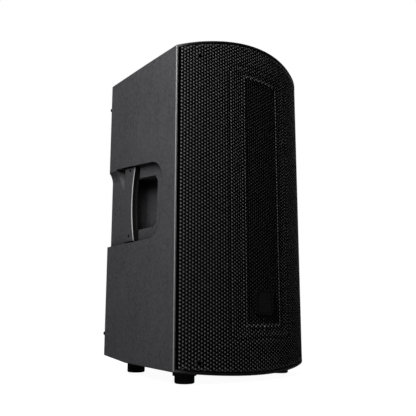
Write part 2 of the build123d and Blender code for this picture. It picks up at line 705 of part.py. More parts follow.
def driver_bolts():
    cover_bolts = [aimed((x, BAFFLE_Y + 166, HORN_LEVEL + z), (0, 1, 0)) * screw(2.0, 26, 3.8, 2.4)
                   for x, z in around(3, 37)]
    throat_studs = [rod_y(2.5, BAFFLE_Y + 101.5, BAFFLE_Y + 123, x, HORN_LEVEL + z)
                    + rod_y(4.6, BAFFLE_Y + 99.5, BAFFLE_Y + 103.9, x, HORN_LEVEL + z)
                    for x, z in around(4, 34, pi / 4)]
    return group(cover_bolts + throat_studs)


def port_tubes():
    tubes = []
    for side in (-1, 1):
        tube = rod_y(PORT_RADIUS + 3, BAFFLE_Y - 3, BAFFLE_Y + 120, side * PORT_X, PORT_LEVEL)
        tube += rod_y(PORT_RADIUS + 6, BAFFLE_Y - 3, BAFFLE_Y, side * PORT_X, PORT_LEVEL)
        bore = rod_y(PORT_RADIUS, BAFFLE_Y - 4, BAFFLE_Y + 121, side * PORT_X, PORT_LEVEL)
        tubes.append(tube - bore)
    return group(tubes)


# ---------------------------------------------------------------- amplifier
def at_panel(place, width, height, y0, y1, radius=0.0):
    return panel(width, height, y0, y1, place[0], place[1], radius)


def amp_plate():
    plate = panel(PANEL_WIDTH, PANEL_HEIGHT, PANEL_BACK, PANEL_Y, z=PANEL_LEVEL, radius=5)
    inner, outer = PANEL_BACK - 1, PANEL_Y + 1
    for place in JACK_PLACES.values():
        plate -= at_panel(place, 24, 28, inner, outer, 4)
    for x, z in KNOB_PLACES.values():
        plate -= rod_y(4.0, inner, outer, x, z)
    plate -= rod_y(11.5, inner, outer, *OUTPUT_PLACE)
    plate -= rod_y(4.3, inner, outer, *BUTTON_PLACE)
    plate -= at_panel(DISPLAY_PLACE, 48, 24, inner, outer, 1)
    plate -= at_panel(INLET_PLACE, 28, 22, inner, outer, 2)
    plate -= at_panel(SWITCH_PLACE, 20.4, 28.4, inner, outer)
    for x, z in led_places():
        plate -= rod_y(1.6, inner, outer, x, z)
    for place in amp_screw_places():
        plate -= place * drill(2.2, 6)
    for place in sink_screw_places():
        plate -= place * drill(1.8, 10)
    return plate


def led_places():
    return [(30.0 + 9 * index, 409.0) for index in range(4)]


def sink_screw_places():
    for x in (-82, 82):
        for z in (-38, 38):
            yield aimed((x, PANEL_Y + 2.5, SINK_LEVEL + z), (0, 1, 0))


def amp_gasket():
    outline = panel(PANEL_WIDTH, PANEL_HEIGHT, PANEL_BACK - GASKET, PANEL_BACK, z=PANEL_LEVEL, radius=5)
    gasket = outline - panel(PANEL_WIDTH - 23, PANEL_HEIGHT - 23, PANEL_BACK - 5, PANEL_Y,
                             z=PANEL_LEVEL, radius=4)
    for place in amp_screw_places():
        gasket -= place * drill(2.4, 10)
    return gasket


def amp_screws():
    edge = [place * screw(1.7, 12.5, 3.6, 2.2) for place in amp_screw_places()]
    sink = [place * screw(1.7, 8, 3.0, 1.9) for place in sink_screw_places()]
    return group(edge + sink)


def heat_sink():
    width, height = 176.0, 88.0
    sink = panel(width, height, PANEL_Y, PANEL_Y + 2.5, z=SINK_LEVEL)
    fins = 17
    pitch = 148.0 / (fins - 1)
    for index in range(fins):
        x = (index - (fins - 1) / 2) * pitch
        sink += panel(2.2, height, PANEL_Y + 2.5, PANEL_Y + 10.5, x, SINK_LEVEL)
    for place in sink_screw_places():
        sink -= place * drill(1.9, 6)
    return sink


def board(width, height, x, z, components):
    """Circuit board with its tall components as blocks: (dx, dz, width, height, tall)."""
    plate = panel(width, height, BOARD_Y - BOARD_THICKNESS, BOARD_Y, x, z)
    for dx, dz, part_width, part_height, tall in components:
        plate += panel(part_width, part_height, BOARD_Y - BOARD_THICKNESS - tall, BOARD_Y - BOARD_THICKNESS,
                       x + dx, z + dz)
    return plate


def amp_board():
    cans = [(-60 + 24 * index, 26, 16, 16, 18) for index in range(4)]
    return board(168, 80, 0, SINK_LEVEL, cans + [(-40, -14, 40, 26, 12), (30, -14, 60, 22, 9)])


def power_supply_board():
    return board(168, 62, 0, 170, [(30, 4, 44, 40, 26), (-20, 8, 30, 30, 20), (-62, 4, 24, 36, 16)])


def input_board():
    circuit = board(168, 134, 0, 388, [(-40, 40, 18, 18, 3), (20, 42, 24, 12, 4), (50, 0, 12, 30, 5)])
    return circuit + at_panel(BUTTON_PLACE, 8, 8, BOARD_Y, PANEL_BACK - 3.5)


def board_standoffs():
    spots = [(x, z) for x in (-76, 76) for z in (146, 194, 228, 296, 328, 448)]
    return group([rod_y(3, BOARD_Y, PANEL_BACK, x, z) for x, z in spots])


def power_inlet():
    inlet = at_panel(INLET_PLACE, 50, 24, PANEL_Y, PANEL_Y + 2, 3)
    inlet += at_panel(INLET_PLACE, 27.4, 21.4, BOARD_Y + 1, PANEL_Y + 1, 2)
    inlet -= at_panel(INLET_PLACE, 23, 16.5, PANEL_Y - 15, PANEL_Y + 3, 3)
    for x, z in ((-7, -2), (0, 3), (7, -2)):
        inlet += panel(2, 6, PANEL_Y - 16, PANEL_Y - 1, INLET_PLACE[0] + x, INLET_PLACE[1] + z)
    return inlet


def power_switch_housing():
    housing = at_panel(SWITCH_PLACE, 24, 32, PANEL_Y, PANEL_Y + 2, 1.5)
    housing += at_panel(SWITCH_PLACE, 20, 28, PANEL_Y - 20, PANEL_Y + 1)
    return housing - at_panel(SWITCH_PLACE, 16.6, 25.4, PANEL_Y - 14, PANEL_Y + 3)


def power_rocker():
    """Rocker with a shallow V face, tipped to its off side."""
    profile = [(4.5, -11), (2.8, 0), (4.5, 11), (-4, 9), (-4, -9)]
    face = make_face(Polyline(*[(y, z) for y, z in profile], close=True))
    across = Plane((-8, 0, 0), x_dir=(0, 1, 0), z_dir=(1, 0, 0))
    rocker = Rot(10, 0, 0) * extrude(across * face, amount=16)
    return Pos(SWITCH_PLACE[0], PANEL_Y - 2, SWITCH_PLACE[1]) * rocker


def input_jack(place):
    x, z = place
    jack = at_panel(place, 27, 31, PANEL_Y, PANEL_Y + 2, 3)
    jack += at_panel(place, 23.4, 23.4, BOARD_Y + 1, PANEL_Y + 1, 4)
    jack -= rod_y(8.8, PANEL_Y - 16, PANEL_Y + 5, x, z)
    jack += tube_y(6.5, 3.3, PANEL_Y - 17, PANEL_Y - 2, x, z)
    return jack - panel(6.6, 3.0, PANEL_Y - 5, PANEL_Y + 5, x, z + 12.2)


def jack_latch(place):
    return panel(6.2, 2.6, PANEL_Y - 2.6, PANEL_Y + 3.6, place[0], place[1] + 12.2)


def output_jack():
    jack = at_panel(OUTPUT_PLACE, 26, 31, PANEL_Y, PANEL_Y + 2, 3)
    jack += rod_y(11.2, BOARD_Y + 1, PANEL_Y + 1, *OUTPUT_PLACE)
    jack -= rod_y(9.3, PANEL_Y - 14, PANEL_Y + 5, *OUTPUT_PLACE)
    for dx, dz in around(3, 4, pi / 2):
        jack += rod_y(1.2, PANEL_Y - 15, PANEL_Y - 2, OUTPUT_PLACE[0] + dx, OUTPUT_PLACE[1] + dz)
    return jack


def potentiometers():
    pots = []
    for x, z in KNOB_PLACES.values():
        body = panel(15, 15, BOARD_Y + 0.5, PANEL_BACK - 0.5, x, z, 2)
        pots.append(body + rod_y(3.0, PANEL_BACK - 1, PANEL_Y + 8, x, z))
    return group(pots)


def knob(place, radius):
    """Turned knob with finger flutes, a pointer groove and a blind bore on the shaft."""
    x, z = place
    tall = 11.0
    body = Pos(0, 0, tall / 2) * Cylinder(radius, tall)
    body = fillet(body.edges().group_by(Axis.Z)[-1], 1.2)
    for dx, dy in around(18, radius + 0.5, pi / 18):
        body -= Pos(dx, dy, tall / 2 + 2) * Cylinder(0.9, tall)
    body -= Pos(0, radius * 0.6, tall) * Box(1.0, radius * 0.7, 1.0)
    body -= Pos(0, 0, 4) * Cylinder(3.0 + RUNNING_GAP, 9)
    return Pos(x, PANEL_Y + 0.6, z) * Rot(-90, 0, 0) * body


def mode_button():
    x, z = BUTTON_PLACE
    button = rod_y(4.1, PANEL_BACK - 1.5, PANEL_Y + 3.4, x, z)
    return fillet(button.edges().sort_by(Axis.Y)[-1], 0.6)


def display_window():
    return at_panel(DISPLAY_PLACE, 56, 30, PANEL_Y, PANEL_Y + 1.4, 2)


def status_leds():
    return group([rod_y(1.5, PANEL_Y - 6, PANEL_Y + 0.8, x, z) for x, z in led_places()])


def cable(points):
    path = Spline(*points)
    return sweep(Plane(origin=path @ 0, z_dir=path % 0) * Circle(2.4), path=path)


def speaker_cables():
    woofer = cable([(66, 104, 296), (88, 74, 262), (99, 22, 250), (100, -24, 256)])
    driver = cable([(-66, 104, 300), (-72, 86, 380), (-46, 74, 460), (-18, 71.5, 522)])
    return group([woofer, driver])


def damping_pads():
    top = block(-105, 105, -60, 95, 594, 616)
    bottom = block(-100, 100, 45, 100, 36, 62)
    return group([top, bottom])


# ---------------------------------------------------------------- every node
def node_table():
    grip = handle_grip()
    nodes = {
        "cabinet_shell": cabinet_shell(),
        "front_baffle": front_baffle(),
        "baffle_screws": group([place * screw(2.1, BAFFLE_THICKNESS + 7, 4.2, 2.6)
                                for place in baffle_screw_places()]),
        "grille": grille(),
        "grille_foam": grille_foam(),
        "grille_screws": group([place * screw(1.5, 13, 3.6, 1.8) for place in grille_screw_places()]),
        "badge_bezel": badge_bezel(),
        "badge_plate": badge_plate(),
        "handle_grip_right": grip,
        "handle_grip_left": mirror(grip, about=Plane.YZ),
        "handle_screws": handle_screws(),
        "feet": feet(),
        "foot_screws": foot_screws(),
        "rear_bumpers": rear_bumpers(),
        "rear_bumper_screws": rear_bumper_screws(),
        "pole_socket": pole_socket(),
        "pole_socket_screws": group([place * screw(1.7, 17, 3.4, 1.8) for place in socket_screw_places()]),
        "woofer_frame": woofer_frame(),
        "woofer_gasket": woofer_gasket(),
        "woofer_surround": woofer_surround(),
        "woofer_cone": woofer_cone(),
        "woofer_dust_cap": woofer_dust_cap(),
        "voice_coil": voice_coil(),
        "woofer_spider": woofer_spider(),
        "woofer_top_plate": woofer_top_plate(),
        "woofer_magnet": woofer_magnet(),
        "woofer_pole_piece": woofer_pole_piece(),
        "woofer_screws": group([place * screw(2.4, 19, 4.2, 2.6) for place in woofer_screw_places()]),
        "horn_waveguide": horn_waveguide(),
        "horn_screws": group([place * screw(2.0, 16, 3.8, 2.2) for place in horn_screw_places()]),
        "driver_body": driver_body(),
        "driver_diaphragm": driver_diaphragm(),
        "driver_cover": driver_cover(),
        "driver_bolts": driver_bolts(),
        "port_tubes": port_tubes(),
        "amp_plate": amp_plate(),
        "amp_gasket": amp_gasket(),
        "amp_screws": amp_screws(),
        "heat_sink": heat_sink(),
        "amp_board": amp_board(),
        "power_supply_board": power_supply_board(),
        "input_board": input_board(),
        "board_standoffs": board_standoffs(),
        "power_inlet": power_inlet(),
        "power_switch_housing": power_switch_housing(),
        "power_rocker": power_rocker(),
        "output_jack": output_jack(),
        "potentiometers": potentiometers(),
        "mode_button": mode_button(),
        "display_window": display_window(),
        "status_leds": status_leds(),
        "speaker_cables": speaker_cables(),
        "damping_pads": damping_pads(),
    }
    for side, place in JACK_PLACES.items():
        nodes["input_jack_" + side] = input_jack(place)
        nodes["jack_latch_" + side] = jack_latch(place)
    for name, place in KNOB_PLACES.items():
        nodes[name] = knob(place, 9.0 if name == "main_knob" else 7.0)
    return nodes


os.makedirs("parts", exist_ok=True)
for node, shape in node_table().items():
    export_step(shape, f"parts/{node}.step")
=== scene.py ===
"""Looks for the loudspeaker cabinet: materials, perforated grille, grip ribs, knob ticks, light, camera."""
import json
from math import atan, cos, pi, radians, sin, sqrt, tan

import bmesh
import bpy
import numpy as np
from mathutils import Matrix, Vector


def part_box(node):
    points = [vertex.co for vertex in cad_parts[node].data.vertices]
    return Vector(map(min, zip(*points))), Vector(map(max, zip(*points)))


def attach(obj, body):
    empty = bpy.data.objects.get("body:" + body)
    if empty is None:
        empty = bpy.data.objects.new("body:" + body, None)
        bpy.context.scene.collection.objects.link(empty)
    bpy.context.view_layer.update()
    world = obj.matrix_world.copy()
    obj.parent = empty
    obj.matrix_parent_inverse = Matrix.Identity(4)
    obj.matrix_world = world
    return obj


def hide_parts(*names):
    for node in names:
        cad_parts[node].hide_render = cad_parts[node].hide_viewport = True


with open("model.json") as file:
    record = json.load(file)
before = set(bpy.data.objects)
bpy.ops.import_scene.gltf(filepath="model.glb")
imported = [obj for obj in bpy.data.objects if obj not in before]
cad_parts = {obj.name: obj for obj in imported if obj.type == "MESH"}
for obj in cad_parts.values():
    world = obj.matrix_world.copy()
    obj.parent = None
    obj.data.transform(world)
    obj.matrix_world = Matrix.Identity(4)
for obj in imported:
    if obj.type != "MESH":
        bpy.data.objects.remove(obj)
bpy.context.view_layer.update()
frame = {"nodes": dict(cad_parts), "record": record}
nodes = frame["nodes"]

# ---------------------------------------------------------------- driving sizes, metres
MM = 0.001
CENTRE_RADIUS = 376.2 * MM          # bowed front: middle arc ...
CENTRE_ANGLE = radians(23.0)        # ... up to this tangent angle, then the corner arcs
CORNER_RADIUS = 149.6 * MM
CORNER_ANGLE = radians(42.1)
TOP_ARCH_RADIUS = 678.0 * MM
TOP_FALL = radians(3.2)
BOTTOM_ARCH_RADIUS = 1800.0 * MM
BOTTOM_RISE = radians(2.06)
FOOT_HEIGHT = 23.5 * MM
CORNER_TOP = 633.5 * MM
SIDE_DEPTH = 282.3 * MM
REAR_HALF_WIDTH = 127.8 * MM
GRILLE_INSET = 6.0 * MM             # the grille's edge lies this far inside the cabinet's outline
GRILLE_RECESS = 0.2 * MM
GRILLE_THICKNESS = 1.2 * MM
FOAM_INSET = 2.2 * MM               # front of the foam behind the bowed surface
FOAM_THICKNESS = 3.0 * MM
FOAM_MARGIN = 2.0 * MM              # the foam ends this far inside the grille's top and bottom
FOAM_COLUMNS = 71
FOAM_ROWS = 121
SHEET_REACH = 0.70                  # taller than the grille: the hole rows are laid out up to here

HOLE_PITCH = 6.77 * MM
HOLE_PHASE = 1.4 * MM
HOLE_RADIUS = 2.5 * MM
HOLE_LIP = 0.45 * MM                # width of the rounded lip round each hole
HOLE_SIDES = 12
WEB_DIP = 0.16 * MM                 # the coat leaves the webs domed: narrowest places,
LIP_DIP = 0.34 * MM                 # start of the lip,
HOLE_DIP = 0.95 * MM                # and rim of the hole lie this far below the web crossings
SIDE_MARGIN = -2.0 * MM             # plain border of the perforated sheet; the sides cut through holes
END_MARGIN = 2.6 * MM
CURL = 3.0 * MM                     # the border rolls back with this radius

GROOVE_HALF = 88.0 * MM             # pressed frame: an outer groove ...
GROOVE_LOW = 78.3 * MM
GROOVE_HIGH = 614.0 * MM
GROOVE_RADIUS = 19.0 * MM
GROOVE_ARCH = 0.33                  # share of the bow's sag that the groove's top follows
GROOVE_DIP = 1.8 * MM
GROOVE_WIDTH = 2.6 * MM
RIDGE_HALF = 50.1 * MM              # ... a raised bead inside it ...
RIDGE_LOW = 100.3 * MM
RIDGE_HIGH = 591.7 * MM
RIDGE_RADIUS = 6.0 * MM
BEAD_HEIGHT = 2.6 * MM
BEAD_WIDTH = 2.8 * MM
BEAD_HIGHLIGHT_WIDTH = 3.0 * MM             # painted highlight on the crowns: brighter this near the bead
SUNK_SHADE_FADE = 6.0 * MM              # and fading to the painted shade of the middle further inside than this
PRESS_DEPTH = 4.0 * MM              # ... round a middle that is pressed in
CREASE_LOW = 89.0 * MM              # short upright crease below the badge
CREASE_HIGH = 121.0 * MM
CREASE_HEIGHT = 1.8 * MM
CREASE_WIDTH = 2.2 * MM
CREASE_FADE = 5.0 * MM

RIB_LOW = 268.0 * MM                # ribs on the inner front edge of the grips
RIB_HIGH = 374.0 * MM
RIB_PITCH = 3.8 * MM
RIB_RADIUS = 1.7 * MM
RIB_OUTER = 14.0 * MM               # depths below the side surface
RIB_INNER = 17.6 * MM
GRIP_MIDDLE = 321.0 * MM            # the grip's front edge is an arc about this level
GRIP_BOW_PEAK = 184.5 * MM
GRIP_BOW_RADIUS = 271.5 * MM
HOLLOW_SHADE_REACH = 0.03                 # hollows narrower than this get painted shade,
HOLLOW_SHADE_POWER = 1.7                   # by this power
EDGE_WEAR_AND_HIGHLIGHT = 0.2                     # brightness of edges: rubbed wear mixed with a painted highlight
CROWN_HIGHLIGHT = 0.68                  # brightness of the painted highlight on the grille's crowns
CROWN_FALLOFF = 1.3
LIP_CROWN = 0.8                     # share of it left at the start of the lip
CROWN_SLANT = 0.6                   # and in the middle of the slanting webs
CROWN_USUAL = 0.52                  # share of it away from the raised bead
CROWN_SUNK = 0.24                   # and in the pressed-in middle: painted shade
LEVEL_BARS = 14.0                   # bars glowing in the display window
TICKS = 11                          # tick marks round each knob, every fifth one long
TICK_GAP = 2.2 * MM
LONG_TICK = 3.2 * MM
SHORT_TICK = 2.0 * MM
TICK_HALF_WIDTH = 0.35 * MM
INK_THICKNESS = 0.15 * MM

FLOOR_REACH = 14.0
AMBIENT = 0.025                     # dim room in front and on the left ...
BACK_GLOW = 0.5                     # ... and a bright one behind on the right
GLOW_SIDE = (0.77, 0.64, 0.0)       # direction of the bright part,
GLOW_START = 0.3                    # which fades in between these cosines
GLOW_FULL = 0.9
AMBIENT_TINT = (0.95, 0.93, 1.0, 1)
LIGHT_TARGET = (0, 0, 0.36)
KEY_PLACE = (-0.95, -0.36, 1.1)     # tall strip light facing the side wall
KEY_SIZE = (0.3, 1.0)
KEY_POWER = 10.5
SPARK_PLACE = (-1.8, -1.5, 0.9)     # weak light nearer to the viewer
SPARK_SIZE = (0.45, 0.45)
SPARK_POWER = 1.6

CAMERA_PLACE = (-0.97898, -0.96789, 0.13776)
CAMERA_TURN = (pi / 2 + 0.20307, -0.00251, -0.7893)
CAMERA_LENS = 55.284
CAMERA_SHIFT = (0.0172, -0.0808)

shell_low, shell_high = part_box("cabinet_shell")
FRONT_Y = shell_low.y
HALF_WIDTH = shell_high.x
FRONT_BOW = (CENTRE_RADIUS * (1 - cos(CENTRE_ANGLE))
             + CORNER_RADIUS * (cos(CENTRE_ANGLE) - cos(CORNER_ANGLE)))
CORNER_Y = FRONT_Y + FRONT_BOW
SIDE_SLOPE = atan((HALF_WIDTH - REAR_HALF_WIDTH) / SIDE_DEPTH)
MIDDLE_ARC = CENTRE_RADIUS * CENTRE_ANGLE
HALF_ARC = MIDDLE_ARC + CORNER_RADIUS * (CORNER_ANGLE - CENTRE_ANGLE)


def into_scene(made):
    bpy.context.scene.collection.objects.link(made)
    return made


# ---------------------------------------------------------------- node helpers
class Nodes:
    """Small builder for a procedural material."""

    def __init__(self, name):
        self.material = bpy.data.materials.new(name)
        self.material.use_nodes = True
        self.tree = self.material.node_tree
        self.tree.nodes.clear()
        self.output = self.tree.nodes.new("ShaderNodeOutputMaterial")
        self.surface = self.tree.nodes.new("ShaderNodeBsdfPrincipled")
        self.link(self.surface.outputs[0], self.output.inputs[0])
        self.place = self.tree.nodes.new("ShaderNodeTexCoord").outputs["Object"]

    def link(self, source, target):
        self.tree.links.new(source, target)

    def put(self, value, target):
        if hasattr(value, "is_output"):
            self.link(value, target)
        else:
            target.default_value = value

    def node(self, kind, inputs=None, **settings):
        made = self.tree.nodes.new(kind)
        for key, value in settings.items():
            setattr(made, key, value)
        for key, value in (inputs or {}).items():
            self.put(value, made.inputs[key])
        return made

    def set(self, **values):
        for key, value in values.items():
            self.put(value, self.surface.inputs[key.replace("_", " ")])

    def noise(self, scale, detail=4.0, rough=0.55, stretch=None):
        place = self.place
        if stretch:
            place = self.node("ShaderNodeMapping", {"Vector": place, "Scale": stretch}).outputs[0]
        made = self.node("ShaderNodeTexNoise", {"Vector": place, "Scale": scale, "Detail": detail,
                                                "Roughness": rough})
        return made.outputs["Fac"]

    def cells(self, scale, feature="F1", output="Distance"):
        made = self.node("ShaderNodeTexVoronoi", {"Vector": self.place, "Scale": scale}, feature=feature)
        return made.outputs[output]

    def spread(self, value, low, high, to_low=0.0, to_high=1.0):
        made = self.node("ShaderNodeMapRange", {"Value": value, "From Min": low, "From Max": high,
                                                "To Min": to_low, "To Max": to_high})
        return made.outputs[0]

    def mix(self, amount, first, second):
        made = self.node("ShaderNodeMix", data_type="RGBA")
        self.put(amount, made.inputs[0])
        self.put(first, made.inputs[6])
        self.put(second, made.inputs[7])
        return made.outputs[2]

    def math(self, operation, first, second=0.0):
        made = self.node("ShaderNodeMath", operation=operation)
        self.put(first, made.inputs[0])
        self.put(second, made.inputs[1])
        return made.outputs[0]

    def bump(self, height, distance, strength=1.0, under=None):
        inputs = {"Height": height, "Distance": distance, "Strength": strength}
        if under is not None:
            inputs["Normal"] = under
        return self.node("ShaderNodeBump", inputs).outputs[0]

    def edge(self, radius, low=0.02, high=0.25):
        """1 on convex and concave edges narrower than radius, 0 on flat faces."""
        soft = self.node("ShaderNodeBevel", {"Radius": radius}, samples=6).outputs[0]
        flat = self.node("ShaderNodeNewGeometry").outputs["Normal"]
        same = self.node("ShaderNodeVectorMath", operation="DOT_PRODUCT")
        self.link(soft, same.inputs[0])
        self.link(flat, same.inputs[1])
        return self.spread(self.math("SUBTRACT", 1.0, same.outputs["Value"]), low, high)


def grey(value, warm=0.0, blue=0.0):
    return (value + warm, value, value + blue, 1.0)


# ---------------------------------------------------------------- materials
def moulded_plastic(name, base, worn, grain=900.0, depth=0.00018, rough=0.5, blotch=0.25, highlight_weight=0.35,
                    corner_highlight=0.0, painted_light_limit=1.0):
    """Moulded plastic: painted shade in hollows, edges lightened by rubbed wear and a painted highlight;
    where asked, painted highlights on the front corners and painted shade on front faces.
    """
    m = Nodes(name)
    pebbles = m.cells(grain)
    fine = m.noise(grain * 1.7, 3.0)
    soft = m.noise(9.0, 3.0)
    streaks = m.noise(30.0, 5.0, 0.6, (1.0, 1.0, 0.25))
    edges = m.edge(0.0016)
    # edges lightened: partly rubbed wear, partly a painted highlight; the same weight also lowers their
    # roughness
    rubbed_and_highlight = m.math("MULTIPLY", edges, m.spread(m.noise(60.0, 5.0), 0.3, 0.6, 0.4, 1.0))
    colour = m.mix(m.spread(soft, 0.3, 0.7, 0.0, blotch), base, worn)
    colour = m.mix(m.spread(fine, 0.35, 0.7, 0.0, 0.35), colour, worn)
    colour = m.mix(m.spread(m.noise(170.0, 5.0, 0.8), 0.38, 0.62, 0.0, 0.75), colour, worn)
    colour = m.mix(m.math("MULTIPLY", rubbed_and_highlight, highlight_weight), colour, grey(EDGE_WEAR_AND_HIGHLIGHT))
    roughness = m.spread(streaks, 0.3, 0.7, rough - 0.06, rough + 0.08)
    roughness = m.math("SUBTRACT", roughness, m.math("MULTIPLY", edges, 0.3 * highlight_weight))
    # painted highlight: fillets turning from the side walls to the front, near the front edge, are painted
    # lighter and made glossier
    if corner_highlight:
        geometry = m.node("ShaderNodeNewGeometry").outputs
        facing = m.node("ShaderNodeSeparateXYZ", {"Vector": geometry["Normal"]}).outputs
        behind = m.node("ShaderNodeSeparateXYZ", {"Vector": geometry["Position"]}).outputs["Y"]
        forward = facing["Y"]
        upright = m.spread(m.math("ABSOLUTE", facing["Z"]), 0.1, 0.3, 1.0, 0.0)
        turning = m.math("MULTIPLY", m.spread(forward, 0.0, 0.14, 1.0, 0.0),
                         m.spread(forward, -0.72, -0.62, 0.0, 1.0))
        near = m.math("LESS_THAN", behind, painted_light_limit)
        corner = m.math("MULTIPLY", m.math("MULTIPLY", turning, upright), near)
        colour = m.mix(corner, colour, grey(corner_highlight))
        roughness = m.math("SUBTRACT", roughness, m.math("MULTIPLY", corner, 0.15))
        # painted shade: faces turned to the front, near the front edge, are painted near black
        front_shade = m.math("MULTIPLY", m.spread(forward, -0.85, -0.72, 1.0, 0.0), near)
        colour = m.mix(front_shade, colour, grey(0.004))
    # painted shade: colour darkened in hollows by ambient occlusion
    hollow_shade = m.node("ShaderNodeAmbientOcclusion", {"Distance": HOLLOW_SHADE_REACH}, samples=6).outputs["AO"]
    colour = m.mix(m.math("POWER", hollow_shade, HOLLOW_SHADE_POWER), grey(0.0), colour)
    height = m.math("ADD", m.math("MULTIPLY", pebbles, 0.7), m.math("MULTIPLY", fine, 0.5))
    m.set(Base_Color=colour, Roughness=roughness, IOR=1.49, Normal=m.bump(height, depth))
    return m.material


def powder_coat(name, base, lighter, rough=0.38, depth=0.00006, crown_highlights=False):
    """Powder-coated steel: orange peel, tiny specks; where asked, a painted highlight on each crown between
    the holes.
    """
    m = Nodes(name)
    peel = m.noise(1400.0, 2.0)
    specks = m.cells(2600.0)
    dust = m.noise(14.0, 5.0)
    colour = m.mix(m.spread(dust, 0.4, 0.75, 0.0, 0.35), base, lighter)
    colour = m.mix(m.spread(specks, 0.0, 0.12, 0.25, 0.0), colour, lighter)
    roughness = m.spread(peel, 0.3, 0.7, rough - 0.05, rough + 0.1)
    m.set(Base_Color=colour, Roughness=roughness, IOR=1.5, Normal=m.bump(peel, depth))
    if crown_highlights:
        # painted highlight: the crowns between the holes are painted lighter and more specular, from the
        # mesh's crown attribute
        crown = m.node("ShaderNodeAttribute", attribute_name="crown").outputs["Fac"]
        m.set(Base_Color=m.mix(m.math("POWER", crown, CROWN_FALLOFF), colour, grey(CROWN_HIGHLIGHT, 0.0, 0.01)),
              Specular_IOR_Level=m.spread(crown, 0.2, 1.0, 0.08, 0.5))
    return m.material


def rubber(name, base, rough=0.75):
    m = Nodes(name)
    grain = m.noise(2200.0, 4.0, 0.6)
    dust = m.noise(45.0, 5.0)
    colour = m.mix(m.spread(dust, 0.45, 0.8, 0.0, 0.5), base, grey(base[1] * 2.6))
    m.set(Base_Color=colour, Roughness=m.spread(grain, 0.3, 0.7, rough - 0.08, rough + 0.1),
          IOR=1.45, Normal=m.bump(grain, 0.00008))
    return m.material


def metal(name, base, rough=0.3, brushed=(1.0, 1.0, 1.0), tint=None):
    """Bare or plated metal with directional or random fine scratches."""
    m = Nodes(name)
    lines = m.noise(900.0, 4.0, 0.6, brushed)
    smudge = m.noise(35.0, 4.0)
    colour = m.mix(m.spread(smudge, 0.35, 0.75, 0.0, 0.4), base, tint or grey(base[1] * 0.6))
    m.set(Base_Color=colour, Metallic=1.0, Roughness=m.spread(lines, 0.3, 0.7, rough - 0.08, rough + 0.12),
          Normal=m.bump(lines, 0.00003))
    return m.material


def gloss_plastic(name, base, rough=0.22):
    m = Nodes(name)
    ripple = m.noise(260.0, 2.0)
    prints = m.noise(70.0, 5.0)
    m.set(Base_Color=m.mix(m.spread(prints, 0.4, 0.8, 0.0, 0.3), base, grey(base[1] * 1.8 + 0.004)),
          Roughness=m.spread(prints, 0.3, 0.75, rough - 0.06, rough + 0.14),
          IOR=1.5, Normal=m.bump(ripple, 0.00003))
    return m.material


def open_cell_foam(name, base):
    m = Nodes(name)
    pores = m.cells(620.0)
    fine = m.noise(1500.0, 4.0)
    colour = m.mix(m.spread(pores, 0.1, 0.6), grey(base[1] * 0.25), base)
    m.set(Base_Color=colour, Roughness=0.98, Specular_IOR_Level=0.1,
          Normal=m.bump(m.math("ADD", pores, m.math("MULTIPLY", fine, 0.4)), 0.0009))
    return m.material


def fibre(name, base, dark, scale=420.0, weave=False):
    """Pressed pulp, wadding or woven cloth."""
    m = Nodes(name)
    if weave:
        across = m.node("ShaderNodeTexWave", {"Vector": m.place, "Scale": scale, "Distortion": 0.4},
                        bands_direction="X").outputs["Fac"]
        along = m.node("ShaderNodeTexWave", {"Vector": m.place, "Scale": scale, "Distortion": 0.4},
                       bands_direction="Z").outputs["Fac"]
        pattern = m.math("MULTIPLY", across, along)
    else:
        pattern = m.noise(scale, 6.0, 0.65, (1.0, 0.5, 2.0))
    blotch = m.noise(30.0, 3.0)
    colour = m.mix(m.spread(pattern, 0.3, 0.7), dark, base)
    colour = m.mix(m.spread(blotch, 0.4, 0.8, 0.0, 0.4), colour, dark)
    m.set(Base_Color=colour, Roughness=0.9, Sheen_Weight=0.15, Normal=m.bump(pattern, 0.0002))
    return m.material


def circuit_board(name):
    m = Nodes(name)
    tracks = m.cells(260.0, "DISTANCE_TO_EDGE")
    copper = m.spread(tracks, 0.02, 0.05, 1.0, 0.0)
    pads = m.spread(m.cells(420.0), 0.05, 0.1, 1.0, 0.0)
    colour = m.mix(copper, (0.012, 0.085, 0.035, 1), (0.03, 0.16, 0.06, 1))
    colour = m.mix(pads, colour, (0.55, 0.5, 0.42, 1))
    m.set(Base_Color=colour, Roughness=m.spread(copper, 0, 1, 0.3, 0.42), Normal=m.bump(copper, 0.0001))
    return m.material


def smoked_window(name):
    """Dark display window with a faint glow of level bars behind it."""
    m = Nodes(name)
    low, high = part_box("display_window")
    split = m.node("ShaderNodeSeparateXYZ", {"Vector": m.place})
    across = m.spread(split.outputs["X"], low.x, high.x)
    up = m.spread(split.outputs["Z"], low.z, high.z)
    column = m.math("MULTIPLY", across, LEVEL_BARS)
    bar = m.math("LESS_THAN", m.math("FRACT", column), 0.62)
    wave = m.math("ABSOLUTE", m.math("SINE", m.math("MULTIPLY", m.math("FLOOR", column), 1.9)))
    level = m.math("LESS_THAN", up, m.math("ADD", 0.3, m.math("MULTIPLY", 0.4, wave)))
    between = m.math("MULTIPLY", m.math("GREATER_THAN", across, 0.12), m.math("LESS_THAN", across, 0.88))
    inside = m.math("MULTIPLY", m.math("GREATER_THAN", up, 0.2), between)
    lit = m.math("MULTIPLY", m.math("MULTIPLY", bar, level), inside)
    smudge = m.noise(60.0, 4.0)
    m.set(Base_Color=(0.006, 0.008, 0.012, 1), Roughness=m.spread(smudge, 0.3, 0.8, 0.06, 0.2),
          Coat_Weight=0.6, Emission_Color=(0.25, 0.6, 1.0, 1), Emission_Strength=m.math("MULTIPLY", lit, 0.7))
    return m.material


def lit_lens(name, colour, strength):
    m = Nodes(name)
    glow = m.noise(900.0, 2.0)
    m.set(Base_Color=colour, Roughness=0.2, Emission_Color=colour,
          Emission_Strength=m.spread(glow, 0.3, 0.7, strength * 0.7, strength), Coat_Weight=0.5)
    return m.material


